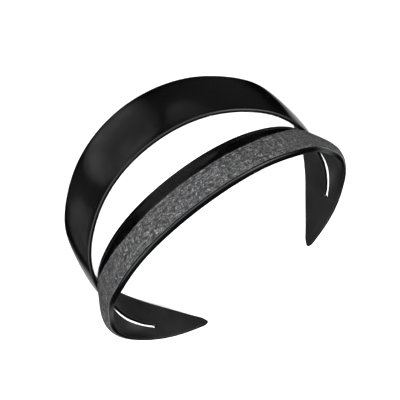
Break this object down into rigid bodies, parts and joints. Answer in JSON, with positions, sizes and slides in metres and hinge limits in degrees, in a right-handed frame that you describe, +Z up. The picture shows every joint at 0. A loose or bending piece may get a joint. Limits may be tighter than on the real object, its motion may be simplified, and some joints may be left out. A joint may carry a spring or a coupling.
{
  "type": "volumizing headband",
  "caption": "Wide moulded hair band whose rear and leaning front bands part over the crown and join in two tapered legs, with glitter cloth round the front band.",
  "frame": {"origin": "on the surface that the band lies on, under the middle of its box", "axes": "+Z up, out of the level rear edge that it rests on, towards the wearer's face; -Y towards the crown of the head, +Y towards the leg tips; +X across, from ear to ear"},
  "size_m": [0.1428, 0.1302, 0.0978],
  "materials": {
    "black_plastic": "glossy moulded black, satin inside",
    "glitter_cloth": "dark grey cloth with silver glitter"
  },
  "bodies": {
    "root": {"band_frame": "black_plastic", "glitter_strip": "glitter_cloth"}
  },
  "joints": []
}
